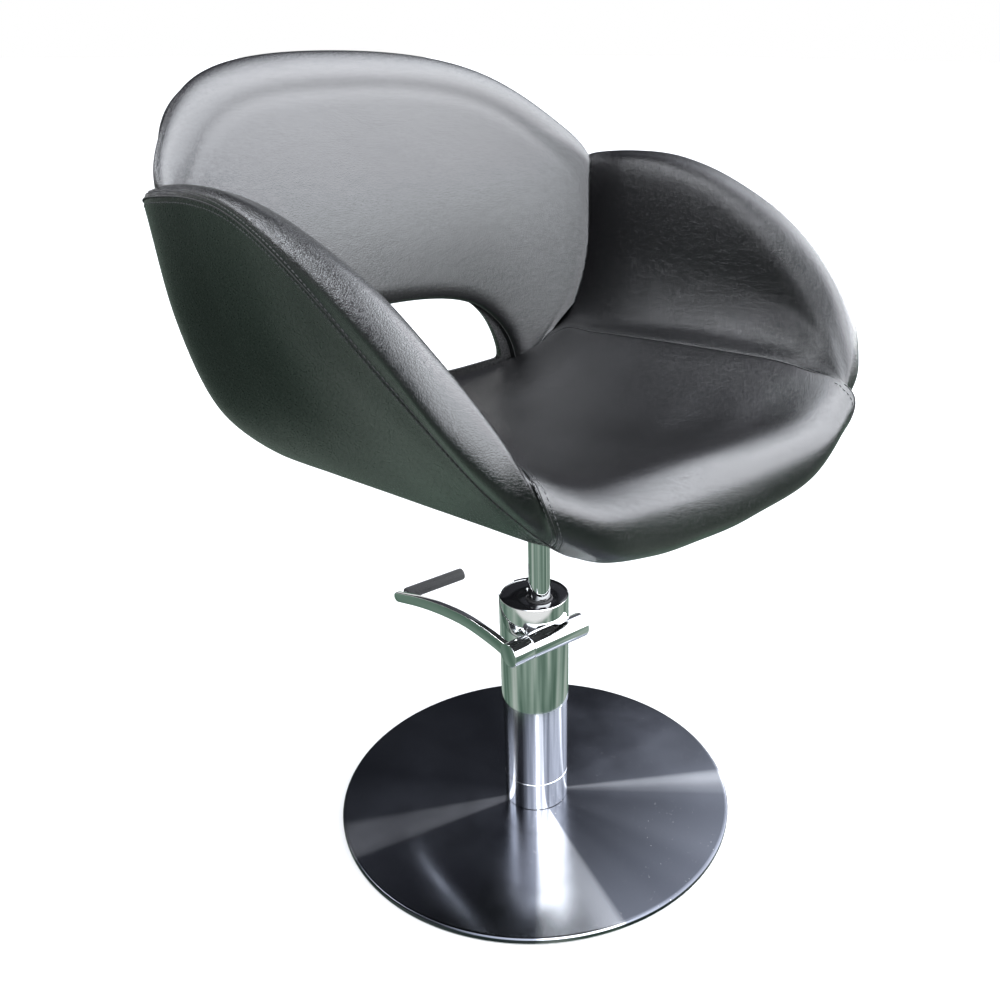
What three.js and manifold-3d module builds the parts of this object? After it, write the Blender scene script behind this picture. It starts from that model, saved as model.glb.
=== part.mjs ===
// Hydraulic salon styling chair: round steel base, foot-pumped column, upholstered tub seat.
// Millimetres, +Z up, origin at the centre of the base on the floor, sitter faces -Y.
import * as THREE from 'three';
import { mergeVertices } from 'three/addons/utils/BufferGeometryUtils.js';
import Module from 'manifold-3d';

const wasm = await Module();
wasm.setup();

// ---- driving dimensions ----
const GAP = 0.4;              // clearance between neighbouring parts
const BASE_R = 275;           // base disc radius
const BASE_TOP = 11;          // top face of the base cover
const TUBE_R = 44;            // column tube
const SLEEVE_R = 45.5;        // upper sleeve round the pump head
const FOOT_TOP = 55;          // joint line between foot ring and column tube
const SLEEVE_LOW = 177;
const SLEEVE_TOP = 336.6;
const ROD_Y = -12;            // piston rod stands in front of the column axis
const ROD_R = 14;
const ROD_LOW = 160;          // lower end of the rod at the modelled height
const PEDAL_Y = -52;          // cross tube axis
const PEDAL_Z = 300;
const PEDAL_R = 16;
const PEDAL_X0 = -82;         // hub end
const PEDAL_XJ = -51;         // joint between hub and cross tube
const PEDAL_X1 = 37;
const LEVER_X = -72;
const GRIP = { y: 222, z: 262, r: 9, x0: -60, x1: 38 };
const UNDER_Z = 508;          // flat underside of the tub
const BOARD_TOP = 523;        // top of the seat board
const C = 0.8;                // clearance between upholstered pieces
const BACK_T = 50;            // thickness of the back through the padding

// ---- materials ----
const mat = (name, color, roughness, metalness) =>
  new THREE.MeshStandardMaterial({ name, color, roughness, metalness });
const LEATHER = () => mat('black_leatherette', 0x1b1b1d, 0.45, 0);
const CHROME = () => mat('chrome', 0xd8dadd, 0.12, 1);
const STEEL = () => mat('brushed_stainless', 0xb4b4b6, 0.3, 1);
const RUBBER = () => mat('black_rubber', 0x151515, 0.75, 0);
const GLOSS = () => mat('gloss_black', 0x0c0c0d, 0.12, 0);
const CAST = () => mat('cast_iron', 0x3a3a3c, 0.7, 0.6);
const PLY = () => mat('plywood', 0xb8935f, 0.7, 0);
const ZINC = () => mat('zinc_steel', 0x8f9296, 0.4, 0.9);

// ---- geometry helpers ----
const group = new THREE.Group();
const add = (name, geometry, material) => {
  const mesh = new THREE.Mesh(geometry, material);
  mesh.name = name;
  group.add(mesh);
  return mesh;
};
const solid = (geometry) => {
  const bare = new THREE.BufferGeometry();
  bare.setAttribute('position', geometry.getAttribute('position').clone());
  if (geometry.index) bare.setIndex(geometry.index.clone());
  const g = mergeVertices(bare, 1e-4);
  return new wasm.Manifold(new wasm.Mesh({
    numProp: 3,
    vertProperties: new Float32Array(g.getAttribute('position').array),
    triVerts: new Uint32Array(g.index.array),
  }));
};
const toGeometry = (body) => {
  const m = body.getMesh();
  const g = new THREE.BufferGeometry();
  g.setAttribute('position', new THREE.BufferAttribute(new Float32Array(m.vertProperties), 3));
  g.setIndex(new THREE.BufferAttribute(new Uint32Array(m.triVerts), 1));
  return g;
};
const largest = (body) =>
  body.decompose().reduce((best, piece) => (piece.volume() > best.volume() ? piece : best));
const cut = (geometry, ...tools) =>
  toGeometry(largest(tools.reduce((body, tool) => body.subtract(solid(tool)), solid(geometry))));
// turned part about +Z: profile runs bottom, outside, top; closes itself when off the axis
const turned = (profile, segments = 32, y = 0) => {
  const pts = profile.map(([r, z]) => new THREE.Vector2(r, z));
  if (profile[0][0] > 0) pts.push(pts[0].clone());
  return new THREE.LatheGeometry(pts, segments).rotateX(Math.PI / 2).translate(0, y, 0);
};
const rod = (r, z0, z1, x = 0, y = 0, segments = 24) =>
  turned([[0, z0], [r, z0], [r, z1], [0, z1]], segments).translate(x, y, 0);
const alongX = (geometry, y, z) => geometry.rotateY(Math.PI / 2).translate(0, y, z);
const barX = (r, x0, x1, y, z, segments = 20) => alongX(rod(r, x0, x1, 0, 0, segments), y, z);
const box = (x0, x1, y0, y1, z0, z1) =>
  new THREE.BoxGeometry(x1 - x0, y1 - y0, z1 - z0)
    .translate((x0 + x1) / 2, (y0 + y1) / 2, (z0 + z1) / 2);

// smooth curve through rows of numbers
const catmull = (rows, t) => {
  const n = rows.length;
  const i = Math.min(Math.floor(t), n - 2);
  const f = t - i;
  const at = (k) => {
    if (k < 0) return rows[0].map((v, c) => 2 * v - rows[1][c]);
    if (k >= n) return rows[n - 1].map((v, c) => 2 * v - rows[n - 2][c]);
    return rows[k];
  };
  const [a, b, c, d] = [at(i - 1), at(i), at(i + 1), at(i + 2)];
  return b.map((v, k) => 0.5 * (2 * v + (c[k] - a[k]) * f
    + (2 * a[k] - 5 * v + 4 * c[k] - d[k]) * f * f
    + (3 * v - a[k] - 3 * c[k] + d[k]) * f * f * f));
};
const line = (rows, count) =>
  Array.from({ length: count }, (_, i) => catmull(rows, (i * (rows.length - 1)) / (count - 1)));
// smooth sheet through a net of points
const sheet = (net, nu, nv) => {
  const cols = net[0].map((_, j) => line(net.map((row) => row[j]), nu));
  return Array.from({ length: nu }, (_, i) => line(cols.map((col) => col[i]), nv));
};
// closed body between two sheets of the same size; loop joins the last row to the first
const between = (top, bottom, loop = false) => {
  const nu = top.length, nv = top[0].length, pos = [], idx = [];
  for (const s of [top, bottom]) for (const row of s) for (const p of row) pos.push(...p);
  const id = (s, i, j) => s * nu * nv + (i % nu) * nv + j;
  const quad = (a, b, c, d) => idx.push(a, b, c, a, c, d);
  for (let i = 0; i < (loop ? nu : nu - 1); i++) {
    for (let j = 0; j < nv - 1; j++) {
      quad(id(0, i, j), id(0, i + 1, j), id(0, i + 1, j + 1), id(0, i, j + 1));
      quad(id(1, i, j), id(1, i, j + 1), id(1, i + 1, j + 1), id(1, i + 1, j));
    }
    quad(id(0, i + 1, 0), id(0, i, 0), id(1, i, 0), id(1, i + 1, 0));
    quad(id(0, i + 1, nv - 1), id(1, i + 1, nv - 1), id(1, i, nv - 1), id(0, i, nv - 1));
  }
  for (let j = 0; j < nv - 1 && !loop; j++) {
    quad(id(0, 0, j), id(0, 0, j + 1), id(1, 0, j + 1), id(1, 0, j));
    quad(id(0, nu - 1, j + 1), id(0, nu - 1, j), id(1, nu - 1, j), id(1, nu - 1, j + 1));
  }
  const g = new THREE.BufferGeometry();
  g.setAttribute('position', new THREE.Float32BufferAttribute(pos, 3));
  g.setIndex(idx);
  return outward(g);
};
const volume = (g) => {
  const p = g.getAttribute('position'), k = g.index;
  const [a, b, c] = [0, 1, 2].map(() => new THREE.Vector3());
  let v = 0;
  for (let i = 0; i < k.count; i += 3) {
    [a, b, c].forEach((q, j) => q.fromBufferAttribute(p, k.getX(i + j)));
    v += a.dot(b.clone().cross(c)) / 6;
  }
  return v;
};
const flip = (g) => {
  const k = g.index.array;
  for (let i = 0; i < k.length; i += 3) [k[i], k[i + 1]] = [k[i + 1], k[i]];
  return g;
};
const outward = (g) => (volume(g) < 0 ? flip(g) : g);
const mirrored = (g) => flip(g.clone().scale(-1, 1, 1));
const onRod = (g) => g.translate(0, ROD_Y, 0);
const mirrorNet = (net) =>
  net.map((row) => [...row.slice(1).reverse().map(([x, y, z]) => [-x, y, z]), ...row]);

// ================= base and column =================
const BOLT_R = 32;
const boltSpots = [20, 160, 200, 340].map((deg) => {
  const a = THREE.MathUtils.degToRad(deg);
  return [BOLT_R * Math.cos(a), BOLT_R * Math.sin(a)];
});
const boltHoles = (z0, z1) => boltSpots.map(([x, y]) => rod(4.5, z0, z1, x, y, 12));

add('base_edge_ring', turned([[250, 0], [271, 0], [273.5, 1], [273.5, 2.4], [250, 2.4]], 40), RUBBER());
add('base_weight_plate',
  cut(turned([[0, 0], [249.4, 0], [249.4, 2.8], [266, 2.8], [266, 7.6], [0, 7.6]], 40),
    ...boltHoles(-1, 9)), CAST());
add('base_cover', cut(turned([[0, 8], [271, 8], [271, 2.8], [274, 2.8], [BASE_R, 4.5],
  [BASE_R, 8.5], [272, BASE_TOP], [0, BASE_TOP]], 56), ...boltHoles(7, 12)), STEEL());
add('pump_flange',
  cut(turned([[0, 11.4], [40.4, 11.4], [40.4, 18], [0, 18]], 32), ...boltHoles(11, 19)), ZINC());
boltSpots.forEach(([x, y], i) => add(`flange_bolt_${i + 1}`,
  turned([[0, 3], [4, 3], [4, 18.4], [6, 18.4], [6, 24], [0, 24]], 12).translate(x, y, 0), ZINC()));
add('column_foot_ring', turned([[41, 11.4], [TUBE_R, 11.4], [TUBE_R, FOOT_TOP], [41, FOOT_TOP]], 32),
  STEEL());

// the pedal's cam passes through a slot in the tube and sleeve
const camSlot = () => box(-8, 8, -60, -30, PEDAL_Z - 13, PEDAL_Z + 13);
add('column_tube', cut(turned([[41, FOOT_TOP + GAP], [TUBE_R, FOOT_TOP + GAP], [TUBE_R, 318],
  [41, 318]], 32), camSlot()), STEEL());
add('upper_sleeve', cut(turned([[44.4, SLEEVE_LOW], [SLEEVE_R, SLEEVE_LOW], [SLEEVE_R, SLEEVE_TOP],
  [43.9, SLEEVE_TOP], [43.9, 318.6], [44.4, 318.2]], 36), camSlot()), CHROME());
add('pump_cap', cut(rod(43.4, 319, 335.4, 0, 0, 32), rod(17.4, 310, 340, 0, ROD_Y, 28),
  rod(3.2, 325, 340, 1, 14, 14)), GLOSS());
add('rod_gland', turned([[14.5, 319.4], [17, 319.4], [17, 336.8], [14.5, 336.8]], 28, ROD_Y), RUBBER());
add('vent_screw', turned([[0, 325.4], [2.8, 325.4], [2.8, 336.4], [2, 337.4], [0, 337.4]], 14)
  .translate(1, 14, 0), CHROME());
add('pump_cylinder', turned([[0, 18.4], [21, 18.4], [21, 317.6], [14.5, 317.6], [14.5, 30],
  [0, 30]], 28, ROD_Y), ZINC());
add('piston_rod', rod(ROD_R, ROD_LOW, 498, 0, ROD_Y, 28), CHROME());

// ================= foot pump pedal =================
const sleeveBite = () => rod(SLEEVE_R + GAP, 250, 350, 0, 0, 36);
add('pedal_tube', cut(cut(barX(PEDAL_R, PEDAL_XJ + GAP, PEDAL_X1, PEDAL_Y, PEDAL_Z, 24),
  barX(7.7, PEDAL_XJ - 5, PEDAL_X1 - 5, PEDAL_Y, PEDAL_Z, 20)), sleeveBite(),
  box(-8, 8, -52, -20, PEDAL_Z - 13, PEDAL_Z + 13)), CHROME());
const shaft = solid(barX(7.2, PEDAL_X0 + 14, PEDAL_X1 - 6, PEDAL_Y, PEDAL_Z, 20));
const camFinger = solid(box(-6, 6, PEDAL_Y, -34.5, PEDAL_Z - 5, PEDAL_Z + 5));
add('pedal_shaft', toGeometry(shaft.add(camFinger)), ZINC());
add('pedal_hub', cut(barX(PEDAL_R, PEDAL_X0, PEDAL_XJ, PEDAL_Y, PEDAL_Z, 24),
  barX(7.7, PEDAL_X0 + 13, PEDAL_XJ + 5, PEDAL_Y, PEDAL_Z, 20)), CHROME());
// arched flat lever: centre line in the Y-Z plane, thin across X
const leverLine = [[-37, 297], [0, 300], [52, 300], [108, 292], [165, 279], [GRIP.y, GRIP.z]];
const leverTop = line(leverLine.map(([y, z]) => [0, y, z]), 13).map((p, i) => {
  const h = 10 - 2.5 * (i / 12);
  return [[p[1], p[2] + h], [p[1], p[2] - h]];
});
const leverSide = (x) => leverTop.map(([a, b]) => [[x, ...a], [x, ...b]]);
add('pedal_lever', cut(between(leverSide(LEVER_X + 4), leverSide(LEVER_X - 4)),
  barX(PEDAL_R + GAP, PEDAL_X0 - 5, PEDAL_XJ, PEDAL_Y, PEDAL_Z, 24),
  barX(4.4, LEVER_X - 3, 0, GRIP.y, GRIP.z, 14)), CHROME());
add('foot_bar', barX(4, LEVER_X - 2, GRIP.x1 - 6, GRIP.y, GRIP.z, 14), ZINC());
const gripRing = [];
for (let i = 0; i < 40; i++) {
  const a = (i * Math.PI) / 20, r = i % 2 ? GRIP.r : GRIP.r - 0.9;
  gripRing.push(new THREE.Vector2(r * Math.cos(a), r * Math.sin(a)));
}
const gripBody = new THREE.ExtrudeGeometry(new THREE.Shape(gripRing),
  { depth: GRIP.x1 - GRIP.x0, bevelEnabled: false });
add('foot_grip', cut(gripBody.rotateY(Math.PI / 2).translate(GRIP.x0, GRIP.y, GRIP.z),
  barX(4.4, GRIP.x0 - 5, GRIP.x1 - 5, GRIP.y, GRIP.z, 14)), RUBBER());
// small hand pump inside the column, pushed by the cam finger
const PUMP_Y = -37.2;
add('plunger', turned([[0, 249], [1.6, 249], [1.6, 284], [2.4, 284], [2.4, 294.4], [0, 294.4]], 12)
  .translate(0, PUMP_Y, 0), ZINC());
add('pump_barrel', turned([[0, 200], [3.4, 200], [3.4, 272], [1.9, 272], [1.9, 206], [0, 206]], 14)
  .translate(0, PUMP_Y, 0), ZINC());

// ================= seat mount =================
add('seat_socket', turned([[14.4, 440], [20, 440], [27, 480], [27, 500.4], [0, 500.4], [0, 498.6],
  [14.4, 498.6]], 28, ROD_Y).translate(0, 0, 0), ZINC());
const plateSpots = [[80, 80], [-80, 80], [-80, -80], [80, -80]];
const plateHoles = (z0, z1) => plateSpots.map(([x, y]) => rod(4.5, z0, z1, x, y + ROD_Y, 12));
add('seat_mount_plate', cut(box(-100, 100, ROD_Y - 100, ROD_Y + 100, 500.8, 507), ...plateHoles(499, 509)),
  mat('black_steel', 0x161617, 0.5, 0.7));
plateSpots.forEach(([x, y], i) => add(`plate_bolt_${i + 1}`,
  turned([[0, 495], [7.5, 495], [7.5, 500.4], [4, 500.4], [4, 520], [0, 520]], 12)
    .translate(x, y + ROD_Y, 0), ZINC()));

// ================= upholstered tub =================
// bottom outline of the tub, half width by y, about the swivel axis
const bottomX = (y) => catmull([[100], [124], [144], [163], [182], [203], [209]],
  THREE.MathUtils.clamp((y + 213) / 79, 0, 6))[0];
const boardX = (y) => bottomX(y) - 24;

// seat surface: rows from the front bottom edge to the rear, centre line out to the arm seam
const SEAT = [
  [[0, -258, 513], [60, -253, 514], [112, -222, 516], [165, -228, 549]],
  [[0, -286, 545], [75, -290, 548], [140, -287, 559], [193, -270, 585]],
  [[0, -280, 580], [78, -286, 585], [150, -288, 598], [208, -277, 620]],
  [[0, -252, 601], [80, -256, 603], [150, -262, 614], [209, -262, 641]],
  [[0, -205, 597], [80, -207, 599], [150, -212, 612], [208, -222, 647]],
  [[0, -160, 590], [78, -162, 592], [150, -166, 610], [208, -175, 648]],
  [[0, -100, 582], [75, -100, 585], [150, -102, 606], [208, -110, 643]],
  [[0, -15, 572], [75, -15, 576], [150, -18, 600], [208, -20, 635]],
  [[0, 75, 563], [75, 75, 567], [150, 72, 591], [208, 70, 626]],
  [[0, 150, 557], [75, 150, 561], [148, 146, 583], [208, 140, 618]],
  [[0, 225, 550], [80, 224, 553], [152, 214, 570], [209, 200, 611]],
  [[0, 300, 541], [85, 298, 543], [158, 284, 552], [204, 262, 572]],
];
// arm surface per station from the front corner back: seat seam, inner wall, crest, rim seam
const ARM = [
  [[209, -262, 641], [210, -268, 634], [209, -272, 627], [208, -276, 620], [205, -278, 611],
    [193, -270, 585], [165, -228, 549]],
  [[208, -222, 647], [216, -228, 658], [222, -234, 668], [229, -242, 674], [244, -253, 676],
    [256, -256, 642], [222, -224, 604]],
  [[208, -175, 648], [225, -179, 663], [236, -184, 690], [243, -190, 716], [262, -203, 734],
    [285, -214, 700], [254, -212, 646]],
  [[208, -110, 643], [231, -112, 662], [246, -115, 702], [254, -119, 757], [276, -127, 783],
    [299, -136, 760], [286, -152, 714]],
  [[208, -20, 635], [236, -20, 655], [255, -20, 706], [266, -22, 792], [288, -27, 819],
    [305, -34, 808], [307, -42, 789]],
  [[208, 70, 626], [238, 70, 645], [260, 70, 706], [272, 72, 808], [294, 75, 838],
    [308, 70, 835], [310, 62, 823]],
  [[208, 140, 618], [240, 147, 636], [264, 150, 702], [277, 158, 808], [296, 165, 838],
    [308, 160, 837], [313, 152, 830]],
  [[209, 200, 611], [246, 212, 630], [272, 212, 700], [286, 222, 800], [298, 240, 830],
    [310, 243, 829], [317, 243, 822]],
  [[204, 262, 572], [250, 270, 610], [280, 262, 700], [292, 266, 795], [299, 276, 818],
    [307, 280, 820], [312, 280, 814]],
];
// outer side panel: rim seam down to the bottom edge, ending round the rear corner
const PANEL = [
  [[104, -216, 512], [102, -215, 510], [101, -213, 509], [100, -211, 508]],
  [[165, -228, 549], [152, -222, 536], [130, -212, 520], [108, -200, 508]],
  [[222, -224, 604], [196, -212, 575], [158, -196, 540], [116, -176, 508]],
  [[254, -212, 646], [224, -194, 603], [178, -170, 552], [124, -145, 508]],
  [[286, -152, 714], [254, -133, 648], [203, -108, 572], [138, -85, 508]],
  [[307, -42, 789], [276, -31, 698], [226, -18, 596], [155, -5, 508]],
  [[310, 62, 823], [288, 64, 718], [242, 67, 602], [171, 70, 508]],
  [[313, 152, 830], [299, 152, 718], [259, 151, 598], [189, 150, 508]],
  [[319, 243, 822], [311, 248, 692], [274, 248, 580], [209, 243, 508]],
  [[311, 282, 812], [299, 288, 683], [264, 288, 575], [207, 288, 508]],
  [[286, 300, 804], [276, 306, 683], [246, 306, 580], [190, 310, 508]],
];
const shift = ([x, y, z], dx, dz, dy = 0) => [x + dx, y + dy, z + dz];
const lerp = (a, b, t) => a.map((v, i) => v + (b[i] - v) * t);

const NU = 23, NV = 7;       // two samples per station
const seatLow = SEAT.map((row, i) => row.map(([, y], j) => {
  const front = [-238, -235, -231, -226][i] ?? Math.min(y, 296);
  return [(boardX(front) * j) / 3, front, BOARD_TOP + 1];
}));
const seatBody = between(sheet(mirrorNet(SEAT), NU, 2 * NV - 1), sheet(mirrorNet(seatLow), NU, 2 * NV - 1));

// the arm padding fills the wall between the seat side and a thin moulded side frame
const armLow = ARM.map((row, i) => {
  const [s, m1, m2, b] = PANEL[i + 1], f = row[0];
  const foot = [boardX(f[1]) + C, Math.min(f[1], 296), BOARD_TOP + 1];
  if (i === 0) return row.map(() => [boardX(-226) + C, -226, BOARD_TOP + 1]);
  return [foot, shift(b, -13.5, 6), shift(m2, -13.5, 2), shift(m1, -13.5, 0),
    shift(lerp(s, m1, 0.22), -13.5, 0), shift(lerp(s, m1, 0.1), -10, 0), shift(s, -4.5, -5)];
});
// its front end meets the cushion's side along the roll, its inner edge along the seat seam
const corner = (net) => Array.from({ length: 13 }, (_, j) =>
  shift(catmull(net.map((row) => row[row.length - 1]), 3 - j / 4), C, 0));
const armTop = sheet(ARM.map((row) => row.map((p) => shift(p, C, 0))), 17, 13);
const armUnder = sheet(armLow, 17, 13);
armTop[0] = corner(SEAT);
armUnder[0] = corner(seatLow);
const armBody = between(armTop, armUnder);
const frameNet = (i) => {
  const [s, m1, m2, b] = PANEL[i + 1];
  return [5, 10.5].map((d) =>
    [shift(b, -d, 4), shift(m2, -d, 2), shift(m1, -d, 0), shift(lerp(s, m1, 0.4), -d, 0)]);
};

// back: cranked slab round a D-shaped opening; y of the middle surface by x and z
const backMid = (x, z) => {
  const h = z - 559;
  return 300 + 0.12 * h + 0.0004 * h * h - 0.0004 * x * x - 0.7e-8 * x ** 4;
};
const ARCH = [[160, 559], [152, 600], [120, 641], [70, 661], [0, 667]];
const OUTLINE = [[212, 600], [262, 664], [286, 760], [301, 832], [275, 872], [200, 928], [0, 955]];
const SILL = [[0, 549], [100, 551], [156, 557]];
const REAR_EDGE = [[0, UNDER_Z], [110, UNDER_Z], [188, UNDER_Z], [243, 580], [273, 683], [284, 800],
  [272, 872], [198, 926], [0, 953]];
const band = (inner, outer, nt, radii, depth) => {
  const a = line(inner, nt), b = line(outer, nt);
  return a.map((p, i) => radii.map((r) => {
    const [x, z] = lerp(p, b[i], r);
    return [x, backMid(x, z) + depth(r), z];
  }));
};
const RADII = [0, 0.06, 0.3, 0.65, 0.9, 1];
const frontDepth = (r) => -0.5 * BACK_T * Math.sqrt(Math.max(0, 1 - Math.abs(2 * Math.max(r, 0.45) - 0.9) ** 5 / 1.6));
const fullCircle = (half) =>
  [...half, ...half.slice(0, -1).reverse().map((row) => row.map(([x, y, z]) => [-x, y, z]))];
const padFront = fullCircle(band(ARCH, OUTLINE, 13, RADII, frontDepth));
const padRear = fullCircle(band(ARCH, OUTLINE, 13, RADII, () => -4));
const backPad = between(padFront, padRear);

// rear cover and its board: rings round the whole opening, down to the flat underside
const RING_INNER = [...SILL, ...ARCH];
const ringHalf = (edge, radii, depth) => {
  const a = line(RING_INNER, 17), b = line(edge, 17);
  return a.map((p, i) => radii.map((r) => {
    const [x, z] = lerp(p, b[i], r);
    return [x, backMid(x, z) + depth(r), z];
  }));
};
const ring = (radii, depth, edge = REAR_EDGE) => fullCircle(ringHalf(edge, radii, depth)).slice(0, -1);
const COVER_R = [0, 0.1, 0.5, 0.9, 1];
const backCover = between(
  ring(COVER_R, (r) => 8.6 + 17 * Math.sqrt(Math.max(0, 1 - (2 * r - 1) ** 4))), ring(COVER_R, () => 8), true);
const BOARD_R = [0.1, 0.5, 0.9];
const backBoard = between(ring(BOARD_R, () => 5.5), ring(BOARD_R, () => 0), true);

const moved = (g, x, y, z) => g.clone().translate(x, y, z);
const panelIn = PANEL.map((row) => row.map((p, j) => shift(p, -3.5, j === 0 ? -7 : 0)));
const panelOut = PANEL.map((row) => row.map((p, j) => (j === 0 ? shift(p, C, -1.2) : shift(p, C, 0))));
const panelBody = between(sheet(panelOut, 21, 7), sheet(panelIn, 21, 7));
const frame = between(...[0, 1].map((k) =>
  sheet([2, 3, 4, 5, 6, 7].map((i) => frameNet(i)[k]), 11, 7)));
// flat plates under the seat: outline from the bottom edge, inset
const plate = (inset, z0, z1) => {
  const shape = new THREE.Shape();
  const ys = [-226, -150, -70, 10, 90, 170, 262];
  ys.forEach((y, i) => (i ? shape.lineTo(bottomX(y) - inset, y) : shape.moveTo(bottomX(y) - inset, y)));
  [...ys].reverse().forEach((y) => shape.lineTo(-bottomX(y) + inset, y));
  return new THREE.ExtrudeGeometry(shape, { depth: z1 - z0, bevelEnabled: false }).translate(0, 0, z0);
};

// pieces that meet are trimmed by a slightly larger copy of their neighbour
const trim = (g, ...tools) =>
  toGeometry(largest(tools.reduce((body, tool) => body.subtract(tool), solid(g))));
const stretch = (rows, d) => rows.map(([x, z]) => [x + (x > 5 ? d : 0), z + (z > 700 ? d : 0)]);
const backSpace = solid(between(
  fullCircle(band(ARCH, stretch(OUTLINE, C), 13, RADII, (r) => frontDepth(r) - C)),
  fullCircle(band(ARCH, stretch(OUTLINE, C), 13, RADII, () => 12))))
  .add(solid(between(
    ring([0, 0.5, 1], () => 40, stretch(REAR_EDGE, C)),
    ring([0, 0.5, 1], () => -C - 2, stretch(REAR_EDGE, C)), true)));
const cushion = trim(seatBody, backSpace);
const cushionSpace = solid(cushion);
for (const [side, s] of [['left', 1], ['right', -1]]) {
  const handed = (g) => (s > 0 ? g : mirrored(g));
  add(`side_frame_${side}`, onRod(trim(handed(frame), backSpace)), PLY());
  const arm = trim(handed(armBody), backSpace, cushionSpace, cushionSpace.translate([s * C / 2, C / 2, -0.3]));
  const armSpace = solid(arm);
  add(`arm_pad_${side}`, onRod(arm.clone()), LEATHER());
  add(`side_panel_${side}`, onRod(trim(handed(panelBody), backSpace, cushionSpace,
    cushionSpace.translate([s * C, 0, -C]), armSpace, armSpace.translate([s * C / 2, 0, -C / 2]))), LEATHER());
}
add('underside_cover', cut(onRod(plate(32, UNDER_Z, 510.4)), ...plateHoles(499, 525)), RUBBER());
add('seat_board', cut(onRod(plate(34, 511, BOARD_TOP)), ...plateHoles(499, 525)), PLY());
add('seat_cushion', onRod(cushion), LEATHER());
add('back_board', onRod(backBoard), PLY());
add('back_pad', onRod(backPad.clone()), LEATHER());
add('back_cover', onRod(backCover), LEATHER());

export default group;
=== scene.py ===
"""Hydraulic salon styling chair: upholstered tub, chromed pump column, round steel base."""
import math

import bmesh
import bpy
import numpy as np
from mathutils import Matrix, Vector


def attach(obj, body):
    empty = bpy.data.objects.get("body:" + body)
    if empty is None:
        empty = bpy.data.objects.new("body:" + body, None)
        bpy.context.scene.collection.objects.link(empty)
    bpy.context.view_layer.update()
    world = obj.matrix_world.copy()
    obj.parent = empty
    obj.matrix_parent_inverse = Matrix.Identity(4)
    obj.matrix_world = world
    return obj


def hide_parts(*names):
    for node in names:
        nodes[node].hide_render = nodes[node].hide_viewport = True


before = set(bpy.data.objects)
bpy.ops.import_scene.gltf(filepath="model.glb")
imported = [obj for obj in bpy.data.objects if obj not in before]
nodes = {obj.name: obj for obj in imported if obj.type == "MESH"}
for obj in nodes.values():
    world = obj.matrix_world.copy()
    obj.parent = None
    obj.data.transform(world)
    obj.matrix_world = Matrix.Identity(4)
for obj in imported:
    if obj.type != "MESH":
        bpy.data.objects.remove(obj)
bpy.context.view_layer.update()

SCENE = bpy.context.scene
ROD_Y = -12.0                    # the tub's own zero is the piston rod's axis, in front of the base centre
FRONT_Y, REAR_Y = -226, 296      # ends of the padding's underside
BOARD_TOP = 524                  # height that the padding stands on
UNDERSIDE = 507.2                # lowest height of the side panels
PANEL_THICKNESS = 2.6
LINING_GAP = 4.0                 # from the side panel's face to the arm's lining
TUCK_DEPTH, TUCK_WIDTH = 0.9, 3.0
STITCH_INSET = 6.5               # from a seam to the row of thread beside it
CUSHION_ROWS, CUSHION_COLUMNS = 230, 201
ARM_ROWS, ARM_COLUMNS = 200, 150
PANEL_ROWS, PANEL_COLUMNS = 180, 76
PAD_POINTS, SHELL_POINTS = 170, 160      # round half of the back's outline
PEDAL_AXIS = (-52, 300)          # y and z of the pedal's cross tube
FOOT_BAR_AXIS = (222, 262)
LEVER_X = -72


# -------------------- curves and sheets
def catmull(rows, t):
    """Smooth curve through the rows, at parameters t counted in rows."""
    rows = np.asarray(rows, float)
    n = len(rows)
    pts = np.concatenate([[2 * rows[0] - rows[1]], rows, [2 * rows[-1] - rows[-2]]])
    t = np.atleast_1d(np.asarray(t, float))
    i = np.clip(np.floor(t).astype(int), 0, n - 2)
    f = (t - i).reshape((-1,) + (1,) * (rows.ndim - 1))
    a, b, c, d = pts[i], pts[i + 1], pts[i + 2], pts[i + 3]
    return 0.5 * (2 * b + (c - a) * f + (2 * a - 5 * b + 4 * c - d) * f ** 2
                  + (3 * b - a - 3 * c + d) * f ** 3)


def sheet(net, tu, tv):
    """Smooth grid of points through a net of stations."""
    net = np.asarray(net, float)
    return catmull(catmull(net, tu).transpose(1, 0, 2), tv).transpose(1, 0, 2)


def spread(last, count, ends=0.0):
    """Parameters from 0 to last, drawn closer together towards both ends."""
    t = np.linspace(0, 1, count)
    return last * ((1 - ends) * t + ends * 0.5 * (1 - np.cos(np.pi * t)))


def closer_at_ends(count):
    """Fractions from 0 to 1, closer together at both ends."""
    return 0.5 - 0.5 * np.cos(np.pi * np.linspace(0, 1, count))


def smooth(t):
    """Smooth step from 0 to 1."""
    t = np.clip(t, 0, 1)
    return t * t * (3 - 2 * t)


def normals(grid):
    """Unit normals; area-weighted, so a pinched corner takes its neighbours' direction."""
    du = np.gradient(grid, axis=0)
    dv = np.gradient(grid, axis=1)
    n = np.cross(du, dv)
    for _ in range(6):
        p = np.pad(n, ((1, 1), (1, 1), (0, 0)), mode="edge")
        n = (p[:-2, 1:-1] + p[2:, 1:-1] + p[1:-1, :-2] + p[1:-1, 2:] + p[1:-1, 1:-1]) / 5
    return n / np.maximum(np.linalg.norm(n, axis=2, keepdims=True), 1e-9)


def from_edge(grid, edge):
    """Distance of each point from one edge, measured along the sheet."""
    axis = 0 if edge in ("first", "last") else 1
    step = np.linalg.norm(np.diff(grid, axis=axis), axis=2)
    zero = np.zeros_like(step.take([0], axis=axis))
    run = np.concatenate([zero, np.cumsum(step, axis=axis)], axis=axis)
    if edge in ("last", "right"):
        run = run.take([-1], axis=axis) - run
    return run


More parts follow.
